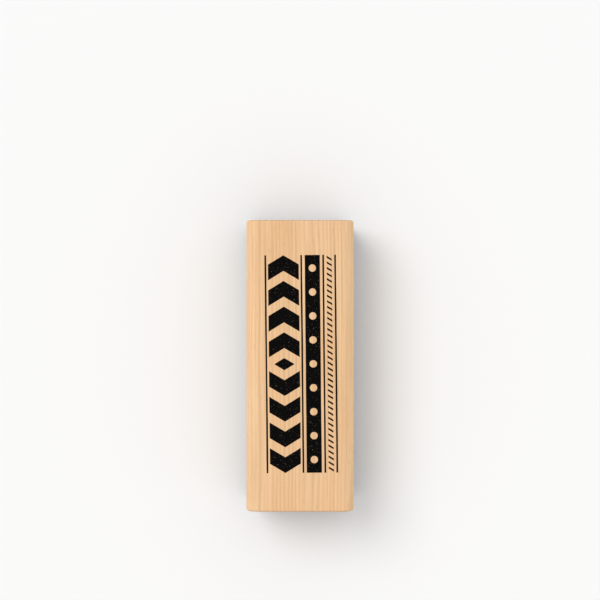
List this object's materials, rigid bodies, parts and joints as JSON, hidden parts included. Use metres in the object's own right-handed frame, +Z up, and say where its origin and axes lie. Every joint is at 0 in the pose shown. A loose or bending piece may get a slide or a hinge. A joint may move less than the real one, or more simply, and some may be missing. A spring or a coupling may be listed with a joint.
{
  "type": "chalkboard eraser",
  "caption": "Small wooden-backed chalkboard eraser with rounded top edges and a sewn pad of folded felt strips under it, for wiping chalk off a board by hand.",
  "frame": {"origin": "centre of the wiping face, on the plane that the felt rests on", "axes": "+Y along the length, +X across the width, +Z up from the wiping face through the felt to the top of the wood"},
  "size_m": [0.037, 0.1, 0.03],
  "materials": {
    "wood": "satin",
    "felt": "matte",
    "thread": "matte",
    "glue": "satin"
  },
  "bodies": {
    "root": {"wood_block": "wood", "glue_film": "glue", "felt_backing": "felt", "felt_fold_1": "felt", "felt_fold_2": "felt", "felt_fold_3": "felt", "felt_fold_4": "felt", "felt_fold_5": "felt", "needle_thread_1": "thread", "needle_thread_2": "thread", "needle_thread_3": "thread", "needle_thread_4": "thread", "needle_thread_5": "thread", "bobbin_thread_1": "thread", "bobbin_thread_2": "thread", "bobbin_thread_3": "thread", "bobbin_thread_4": "thread", "bobbin_thread_5": "thread"}
  },
  "joints": []
}
